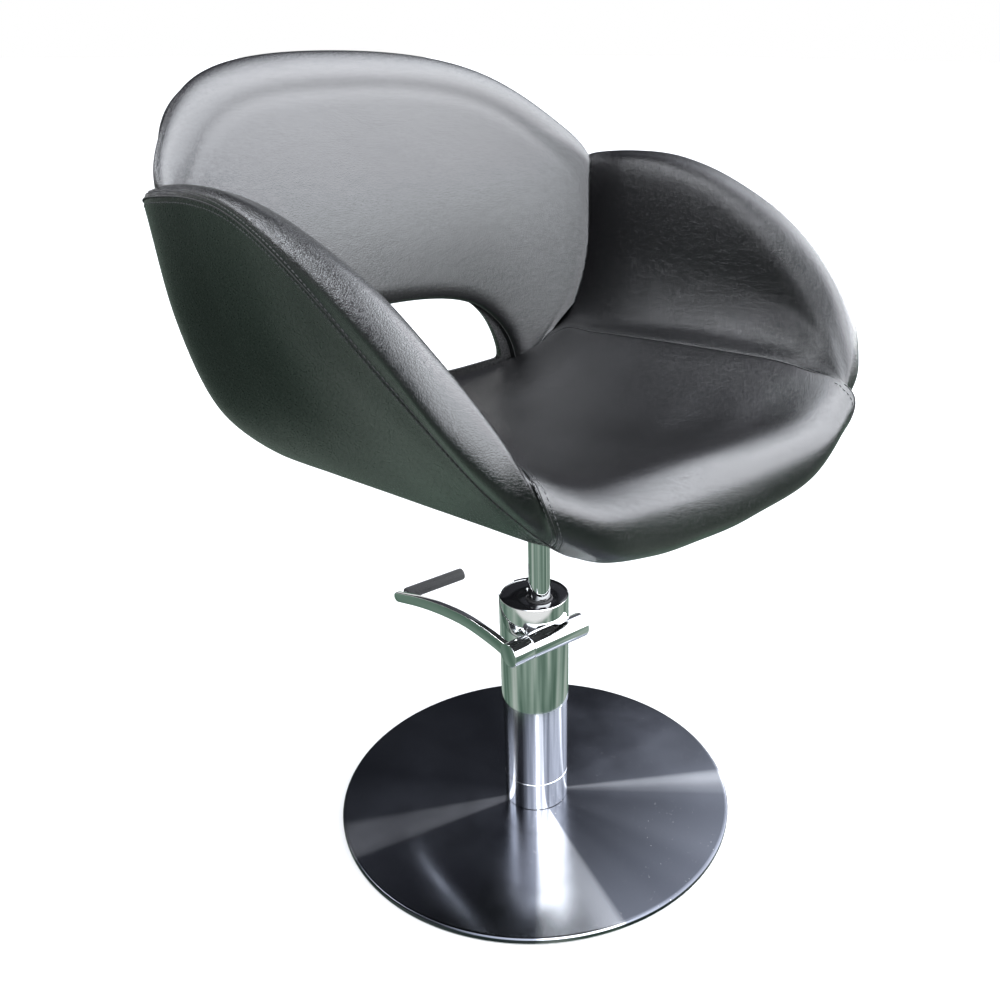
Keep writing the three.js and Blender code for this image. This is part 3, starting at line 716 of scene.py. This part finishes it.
# -------------------- back pad and rear cover
def full_circle(half, closed):
    """The left half of a ring of rows followed by its mirror image."""
    other = half[:-1][::-1].copy()
    other[..., 0] *= -1
    whole = np.concatenate([half, other])
    return whole[:-1] if closed else whole


def ease(s):
    """Quarter circle from 0 to 1, like the edge of a roll."""
    s = np.clip(s, 0, 1)
    return np.sqrt(1 - (1 - s) ** 2)


def fair(points, count):
    """Smooth curve through the points, level where it ends on the centre plane."""
    p = np.asarray(points, float)
    n = len(p)
    tail = p[-2::-1] * (-1, 1)
    head = p[:0:-1] * (-1, 1) if p[0][0] == 0 else p[:0]
    whole = np.concatenate([head, p, tail])
    run = np.r_[0, np.cumsum(np.sqrt(np.linalg.norm(np.diff(whole, axis=0), axis=1)))]
    h = np.diff(run)
    m = len(whole)
    left = np.eye(m)
    right = np.zeros((m, 2))
    for i in range(1, m - 1):
        left[i, i - 1:i + 2] = h[i - 1], 2 * (h[i - 1] + h[i]), h[i]
        right[i] = 6 * ((whole[i + 1] - whole[i]) / h[i] - (whole[i] - whole[i - 1]) / h[i - 1])
    bend = np.linalg.solve(left, right)
    first = len(head)
    at = np.interp(np.linspace(0, n - 1, count), np.arange(n), run[first:first + n])
    k = np.clip(np.searchsorted(run, at, "right") - 1, 0, m - 2)
    a, b, w = (run[k + 1] - at)[:, None], (at - run[k])[:, None], h[k][:, None]
    return ((bend[k] * a ** 3 + bend[k + 1] * b ** 3) / (6 * w)
            + (whole[k] / w - bend[k] * w / 6) * a + (whole[k + 1] / w - bend[k + 1] * w / 6) * b)


def span(inner, outer, count, radii):
    """Points across the slab between two outlines, with distances from both edges in mm."""
    a, b = fair(inner, count), fair(outer, count)
    length = np.linalg.norm(b - a, axis=1)[:, None]
    r = np.asarray(radii)[None, :]
    xz = a[:, None] + (b - a)[:, None] * r[..., None]
    return xz, r * length, (1 - r) * length


def back_surface(inner, outer, count, radii, depth, closed=False):
    """Sheet between two outlines; depth gives its distance behind the back's mid surface."""
    xz, d_in, d_out = span(inner, outer, count, radii)
    x, z = xz[..., 0], xz[..., 1]
    grid = np.stack([x, back_mid(x, z) + depth(d_in, d_out, z), z], axis=2)
    return full_circle(grid, closed)


def pad_depth(d_in, d_out, z):
    """The back pad's face: rolled rim, a slow crease inside it, and the opening's lip."""
    free = np.clip((z - 800) / 60, 0, 1)
    rim = ease(d_out / (9 + 23 * free))
    crease = 1.5 * (0.2 + 0.8 * free) * np.exp(-((d_out - 42) / 9.0) ** 2)
    mouth = 0.42 + 0.58 * ease(d_in / 26)
    return -25 * rim * mouth + crease


# the front lip of the opening rolls in, lower and wider than the frame's own opening
PAD_ARCH = [[x + 16 * min(1, x / 60), z - 10] for x, z in ARCH]
# below the arm tops the pad runs on under the arm padding
PAD_OUTLINE = [[x + 13 * min(1, max(0, (826 - z) / 50)), z] for x, z in OUTLINE]
R_PAD = closer_at_ends(110)
back_front = back_surface(PAD_ARCH, PAD_OUTLINE, PAD_POINTS, R_PAD, pad_depth)
back_rear = back_surface(PAD_ARCH, PAD_OUTLINE, PAD_POINTS, R_PAD, lambda d_in, *_: 1.0 + 0 * d_in)
back_out = -np.sign(normals(back_front)[85, 55, 1])
back_front = swell(back_front, 0.8, 48.0, back_out, 11)
verts, faces = shell(back_front, back_rear)
back_pad = to_object("back_pad_cover", verts, faces, LEATHER, 50)
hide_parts("back_pad", "back_board")


def cover_depth(d_in, d_out, _):
    return 1.5 + 22 * np.minimum(ease(d_out / 20), ease(d_in / 12))


RING = SILL + ARCH
R_SHELL = closer_at_ends(72)
cover_rear = back_surface(RING, REAR_EDGE, SHELL_POINTS, R_SHELL, cover_depth, closed=True)
cover_front = back_surface(RING, REAR_EDGE, SHELL_POINTS, R_SHELL, lambda d_in, *_: 1.2 + 0 * d_in,
                           closed=True)
verts, faces = shell(cover_rear, cover_front, loop=True)
rear = to_object("back_shell_cover", verts, faces, PANEL_LEATHER, 50)
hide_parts("back_cover")


# -------------------- seams
def rod_along(name, line, material, radius):
    """Round cord swept along a line of points (mm)."""
    sides = 8
    line = np.asarray(line, float)
    tangent = np.gradient(line, axis=0)
    tangent /= np.maximum(np.linalg.norm(tangent, axis=1, keepdims=True), 1e-9)
    up = np.array([0.0, 0.0, 1.0]) if abs(tangent[0][2]) < 0.9 else np.array([1.0, 0, 0])
    verts = []
    for c, t in zip(line, tangent):
        up = up - t * np.dot(up, t)
        up /= np.linalg.norm(up)
        side = np.cross(t, up)
        for q in range(sides):
            a = 2 * math.pi * q / sides
            verts.append(c + radius * (math.cos(a) * up + math.sin(a) * side))
    return to_object(name, np.array(verts), capped_faces(len(line), sides), material, 60)


def beside(grid, edge, distance, out):
    """Line on the sheet a set distance from one edge, with its normals."""
    run = from_edge(grid, edge)
    nrm = normals(grid) * out
    axis = 0 if edge in ("first", "last") else 1
    g, n = (grid, nrm) if axis == 1 else (grid.transpose(1, 0, 2), nrm.transpose(1, 0, 2))
    r = run if axis == 1 else run.T
    pts, nr = [], []
    for a, b, c in zip(g, n, r):
        order = np.argsort(c)
        pts.append([np.interp(distance, c[order], a[order, q]) for q in range(3)])
        nr.append([np.interp(distance, c[order], b[order, q]) for q in range(3)])
    return np.array(pts), np.array(nr)


def sew(name, grid, edge, out, start, end=1.0):
    """Thread on both sides of the tub, along one edge of a sheet."""
    line, nrm = beside(grid, edge, STITCH_INSET, out)
    a, b = int(start * len(line)), int(end * len(line))
    for side, turn in SIDES:
        obj = stitches(f"{name}_{side}", turn(line[a:b]), turn(nrm[a:b]), THREAD)


def seam_shadow_line(name, line, radius, both=True):
    """Painted shade: a dark matt rod laid along the closed seam between two covers, standing for the shadow
    in its groove.
    """
    for side, turn in SIDES if both else (("centre", np.array),):
        obj = rod_along(f"{name}_{side}", turn(line), SEAM_SHADOW, radius)


def arm_back_line():
    """Where the arm's cover runs into the face of the back pad."""
    face = back_front[:PAD_POINTS][::2, ::2].reshape(-1, 3)
    face = face[face[:, 0] > 140]
    pts = []
    for col in arm_top.transpose(1, 0, 2)[::2]:
        col = col[col[:, 1] > 150]
        d = ((col[:, None, 0] - face[None, :, 0]) ** 2 + (col[:, None, 2] - face[None, :, 2]) ** 2)
        k = d.argmin(1)
        gap = face[k, 1] - col[:, 1]
        hit = np.where((gap[:-1] > 0) & (gap[1:] <= 0) & (d.min(1)[:-1] < 80))[0]
        if len(hit):
            h = hit[0]
            t = gap[h] / (gap[h] - gap[h + 1])
            pts.append(col[h] + t * (col[h + 1] - col[h]))
    return np.array(pts)


# painted shade: dark rods along the seams stand for the shadow in their grooves
seam_shadow_line("rim_seam_shadow", arm_top[:, -1], 0.9)
seam_shadow_line("front_seam_shadow", arm_top[0, 4:], 0.6)
seam_shadow_line("arm_seam_shadow", arm_top[4:, 0], 0.6)
seam_shadow_line("opening_edge_shadow", back_front[:, 0], 0.8, both=False)
fold = arm_back_line()
if len(fold) > 6:
    seam_shadow_line("arm_back_seam_shadow", catmull(fold[::2], np.linspace(0, len(fold[::2]) - 1, 160)), 0.8)

sew("rim_stitch_upper", arm_top, "right", arm_out, 0.03)
sew("rim_stitch_lower", panel_grid, "left", panel_out, 0.1, 0.92)
sew("front_stitch_outer", arm_top, "first", arm_out, 0.02, 0.98)
sew("front_stitch_inner", seat_grid, "right", seat_up, 0.14, 0.42)


# -------------------- base and column
def hard(name, profile, look, body, node, radius, segments, centre=(0, 0)):
    """Solid turned part with rounded corners."""
    obj = turned(name, soft_corners(profile, radius), look, body, segments, centre)
    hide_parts(node)
    return obj


def hollow(name, profile, look, body, node, centre=(0, 0), segments=128):
    """Turned part with a bore."""
    obj = turned(name, profile, look, body, segments, centre)
    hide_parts(node)
    return obj


hard("base_cover_disc", [(0, 8), (271, 8), (271, 2.8), (274.4, 2.8), (275, 4.5), (275, 9.2), (273.2, 10.7),
                         (270.5, 11), (0, 11)], DISC, "base", "base_cover",
     0.6, 256)
hollow("base_edge_band", [(250, 0), (271, 0), (273, 0.5), (273.6, 1.4), (273.4, 2.5), (250, 2.5)],
       GREY_RUBBER, "base", "base_edge_ring", segments=256)
hollow("column_foot_collar", [(41, 11.4), (43.6, 11.4), (44, 11.9), (44, 54.5), (43.5, 55), (41, 55)],
       TUBE, "base", "column_foot_ring")
hollow("column_outer_tube", [(41, 55.4), (43.5, 55.4), (44, 55.9), (44, 317.5), (43.5, 318), (41, 318)],
       TUBE, "base", "column_tube")
hollow("column_chrome_sleeve", [(44.4, 177), (45, 176.8), (45.5, 177.5), (45.5, 335.8), (45, 336.6),
                                (44.4, 336.6), (43.9, 336), (43.9, 318.6), (44.4, 318.2)],
       CHROME, "base", "upper_sleeve")


def eccentric_cap():
    """Cap with its hole off centre, round the piston rod."""
    rings = [(43.4, 319, 0), (43.4, 334.7, 0), (43.2, 335.2, 0), (42.7, 335.4, 0), (18.2, 335.4, ROD_Y),
             (17.6, 335.2, ROD_Y), (17.4, 334.7, ROD_Y), (17.4, 319, ROD_Y)]
    n = 128
    a = np.linspace(0, 2 * np.pi, n, endpoint=False)
    verts = [(r * math.cos(t), y + r * math.sin(t), z) for r, z, y in rings for t in a]
    m = len(rings)
    faces = [(k * n + i, k * n + (i + 1) % n, (k + 1) % m * n + (i + 1) % n, (k + 1) % m * n + i)
             for k in range(m) for i in range(n)]
    obj = to_object("pump_cap_disc", np.array(verts), faces, GLOSS, 35, "base", offset=False)
    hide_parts("pump_cap")


eccentric_cap()
hollow("rod_gland_ring", [(14.5, 319.4), (17, 319.4), (17, 336.3), (16.5, 336.8), (15, 336.8),
                          (14.5, 336.3)],
       RUBBER, "base", "rod_gland", centre=(0, ROD_Y), segments=64)
hard("chromed_piston_rod", [(0, 160), (14, 160), (14, 498), (0, 498)], CHROME, "rod", "piston_rod",
     0.8, 96, (0, ROD_Y))
hollow("seat_socket_cup", [(14.4, 440), (19.2, 440), (20, 440.8), (20, 444), (26.6, 478), (27, 481),
                           (27, 499.8), (26.4, 500.4), (14.4, 500.4)],
       BLACK_STEEL, "seat", "seat_socket", centre=(0, ROD_Y), segments=96)


def apply(obj):
    """Bakes the modifiers into the mesh."""
    graph = bpy.context.evaluated_depsgraph_get()
    baked = bpy.data.meshes.new_from_object(obj.evaluated_get(graph))
    obj.modifiers.clear()
    obj.data = baked


def slotted_screw():
    """Small domed vent screw with a driver slot cut across its head."""
    base = turned("vent_screw_head", soft_corners([(0, 325.4), (2.8, 325.4), (2.8, 336.6), (1.8, 337.6),
                                                   (0, 337.8)], 0.3), CHROME, "base", 48, (1, 14))
    blade = bmesh.new()
    bmesh.ops.create_cube(blade, size=1.0, matrix=Matrix.Translation((0.001, 0.014, 0.3376))
                          @ Matrix.Rotation(0.6, 4, "Z") @ Matrix.Diagonal((0.008, 0.0008, 0.0018, 1)))
    mesh = bpy.data.meshes.new("slot_blade")
    blade.to_mesh(mesh)
    blade.free()
    tool = bpy.data.objects.new("slot_blade", mesh)
    SCENE.collection.objects.link(tool)
    cut = base.modifiers.new("slot", "BOOLEAN")
    cut.object = tool
    cut.operation = "DIFFERENCE"
    apply(base)
    bpy.data.objects.remove(tool)
    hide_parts("vent_screw")


slotted_screw()


# -------------------- foot pump pedal
def bar_along_x(name, profile, look, body, node, at):
    """Round bar along X; profile of (radius, x), at the given y and z."""
    obj = turned(name, soft_corners(profile, 1.0), look, body, 96, at, "X")
    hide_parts(node)
    return obj


bar_along_x("pedal_cross_tube", [(0, -50.6), (16, -50.6), (16, 37), (0, 37)], CHROME, "base",
            "pedal_tube", PEDAL_AXIS)
bar_along_x("pedal_hub_sleeve", [(0, -82), (16, -82), (16, -51), (0, -51)], CHROME, "pedal",
            "pedal_hub", PEDAL_AXIS)
bar_along_x("pedal_foot_bar", [(0, -74), (4, -74), (4, 32), (0, 32)], ZINC, "pedal",
            "foot_bar", FOOT_BAR_AXIS)


def lever():
    """Arched flat bar with rounded edges, its end wrapped over the foot bar."""
    steps, cap_steps = 120, 6
    r = 1.6                      # of the bar's long edges
    path = [[-37, 297], [0, 300], [52, 300], [108, 292], [165, 279], [222, 262]]
    centre = catmull(path, np.linspace(0, 5, steps + 1))
    tangent = np.gradient(centre, axis=0)
    tangent /= np.linalg.norm(tangent, axis=1, keepdims=True)
    across = np.stack([-tangent[:, 1], tangent[:, 0]], 1)
    half = np.linspace(10, 7.5, steps + 1)
    section = []
    for cx, cz, a0 in ((4 - r, 1, 0), (-4 + r, 1, 90), (-4 + r, -1, 180), (4 - r, -1, 270)):
        for k in range(5):
            a = math.radians(a0 + 22.5 * k)
            section.append((cx + r * math.cos(a), cz, r * math.sin(a)))
    verts = []
    for c, n, h in zip(centre, across, half):
        for sx, sign, dz in section:
            d = sign * (h - r) + dz
            verts.append((LEVER_X + sx, c[0] + n[0] * d, c[1] + n[1] * d))
    m = len(section)
    # domed end round the foot bar
    end, tip = centre[-1], tangent[-1]
    for j in range(1, cap_steps + 1):
        a = math.pi / 2 * j / 6.5
        for sx, sign, dz in section:
            d = (sign * (7.5 - r) + dz) * math.cos(a)
            f = 7.5 * math.sin(a)
            verts.append((LEVER_X + sx, end[0] + across[-1][0] * d + tip[0] * f,
                          end[1] + across[-1][1] * d + tip[1] * f))
    faces = capped_faces(steps + 1 + cap_steps, m)
    obj = to_object("pedal_lever_bar", np.array(verts), faces, CHROME, 40, "pedal", offset=False)
    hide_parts("pedal_lever")


lever()


def foot_grip():
    """Rubber sleeve with fine lengthwise ribs and rounded ends."""
    xs = np.r_[-60, -59.6, -58.8, np.linspace(-57.5, 35.5, 12), 36.8, 37.6, 38]
    ends = np.r_[0.80, 0.9, 0.97, np.ones(12), 0.97, 0.9, 0.80]
    ribs, radius, count = 30, 8.55, 240
    y, z = FOOT_BAR_AXIS
    a = np.linspace(0, 2 * np.pi, count, endpoint=False)
    rib = 0.45 * np.clip(np.cos(a * ribs) * 1.6, -1, 1)
    verts = []
    for x, e in zip(xs, ends):
        rad = (radius + rib) * e
        verts += [(x, y + rr * math.cos(t), z + rr * math.sin(t)) for rr, t in zip(rad, a)]
    faces = capped_faces(len(xs), count)
    obj = to_object("ribbed_foot_grip", np.array(verts), faces, RUBBER, 40, "pedal", offset=False)
    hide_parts("foot_grip")


foot_grip()


# -------------------- stage
def floor():
    """Pale ground, so large that its edge is out of sight; metal and leather reflect the world instead."""
    mesh = bpy.data.meshes.new("studio_floor")
    s = 60.0                     # half its width in metres
    mesh.from_pydata([(-s, -s, 0), (s, -s, 0), (s, s, 0), (-s, s, 0)], [], [(0, 1, 2, 3)])
    obj = bpy.data.objects.new("studio_floor", mesh)
    SCENE.collection.objects.link(obj)
    m, _, b = material("studio_floor", (0.3, 0.3, 0.3), 0.85)
    b.inputs["Specular IOR Level"].default_value = 0.1
    b.inputs["Emission Color"].default_value = (1, 1, 1, 1)
    b.inputs["Emission Strength"].default_value = 0.3
    mesh.materials.append(m)
    obj.visible_glossy = False


def light(name, at, target, size, size_y, power, tone):
    data = bpy.data.lights.new(name, "AREA")
    data.shape = "RECTANGLE"
    data.size = size
    data.size_y = size_y
    data.energy = power
    data.color = tone
    obj = bpy.data.objects.new(name, data)
    obj.location = at
    obj.rotation_euler = (Vector(target) - Vector(at)).to_track_quat("-Z", "Y").to_euler()
    SCENE.collection.objects.link(obj)


floor()
light("overhead_softbox", (0.5, -0.5, 3.2), (0, 0, 0.6), 1.8, 1.6, 60, (0.95, 0.97, 1.0))
light("right_softbox", (2.6, 0.7, 0.9), (0, 0, 0.7), 1.0, 1.0, 30, (0.97, 0.98, 1.0))
light("rear_left_softbox", (-1.7, 2.0, 2.7), (0, 0, 0.7), 1.5, 1.2, 75, (0.92, 0.95, 1.0))


def lobe(tree, direction, toward, low, high):
    """1 near one direction of the sky, 0 away from it."""
    aim = node(tree, "ShaderNodeVectorMath", operation="DOT_PRODUCT")
    tree.links.new(direction, aim.inputs[0])
    aim.inputs[1].default_value = Vector(toward).normalized()
    return remap(tree, aim.outputs["Value"], 0, 1, low, high)


# the sky is bright above the front and +X, dark behind; below the horizon lies a green ground
world = bpy.data.worlds.new("studio")
SCENE.world = world
world.use_nodes = True
wt = world.node_tree
bg = wt.nodes["Background"]
co = wt.nodes.new("ShaderNodeTexCoord")
xyz = wt.nodes.new("ShaderNodeSeparateXYZ")
wt.links.new(co.outputs["Generated"], xyz.inputs["Vector"])
tall = node(wt, "ShaderNodeMapping", Scale=(1, 1, 0.12))
wt.links.new(co.outputs["Generated"], tall.inputs["Vector"])
bands = node(wt, "ShaderNodeTexNoise", Scale=2.0, Detail=2.0, Roughness=0.5)
wt.links.new(tall.outputs["Vector"], bands.inputs["Vector"])
ground = ramp(wt, bands.outputs["Fac"], [(0.36, (0.1, 0.17, 0.13)), (0.5, (0.26, 0.36, 0.3)),
                                         (0.64, (0.5, 0.57, 0.52))])
aim = lobe(wt, co.outputs["Generated"], (0.35, -0.75, 0.55), -0.5, 1.0)
sky = ramp(wt, aim, [(0.0, (0.006, 0.006, 0.007)), (0.4, (0.02, 0.021, 0.024)), (0.53, (0.42, 0.44, 0.48)),
                     (0.66, (0.86, 0.89, 0.95)), (1.0, (1.0, 1.03, 1.08))])
strong = node(wt, "ShaderNodeVectorMath", operation="SCALE", Scale=8.0)
wt.links.new(sky, strong.inputs[0])
rise = remap(wt, xyz.outputs["Z"], 0, 1, 0.04, 0.09)
low_sky = node(wt, "ShaderNodeMix", data_type="RGBA")
wt.links.new(rise, low_sky.inputs["Factor"])
low_sky.inputs[6].default_value = (1, 1, 1, 1)
wt.links.new(strong.outputs["Vector"], low_sky.inputs[7])
both = node(wt, "ShaderNodeMix", data_type="RGBA")
wt.links.new(remap(wt, xyz.outputs["Z"], 0, 1, -0.05, -0.03), both.inputs["Factor"])
wt.links.new(ground, both.inputs[6])
wt.links.new(low_sky.outputs[2], both.inputs[7])
path = wt.nodes.new("ShaderNodeLightPath")       # seen directly, the surroundings are plain white
seen = node(wt, "ShaderNodeMix", data_type="RGBA")
wt.links.new(path.outputs["Is Camera Ray"], seen.inputs["Factor"])
wt.links.new(both.outputs[2], seen.inputs[6])
seen.inputs[7].default_value = (1, 1, 1, 1)
wt.links.new(seen.outputs[2], bg.inputs["Color"])
bg.inputs["Strength"].default_value = 1.0

view = SCENE.view_settings
view.view_transform = "Standard"
view.look = "None"
view.exposure = 0.0

cam = bpy.data.cameras.new("camera")
cam.sensor_width = 36
cam.lens = 35.97
cam.shift_x = -0.0758
cam.shift_y = 0.078
cam.clip_start = 0.05
cam.clip_end = 200
camera = bpy.data.objects.new("camera", cam)
stand = Vector((-0.6971, -0.8922, 0.9673))
ahead = Vector((0.5751, 0.6673, -0.4733)).normalized()
across = ahead.cross(Vector((0, 0, 1))).normalized()
up = across.cross(ahead)
roll = 0.008
x_axis = across * math.cos(roll) + up * math.sin(roll)
y_axis = up * math.cos(roll) - across * math.sin(roll)
basis = Matrix((x_axis, y_axis, -ahead)).transposed()
camera.matrix_world = Matrix.Translation(stand) @ basis.to_4x4()
SCENE.collection.objects.link(camera)
SCENE.camera = camera
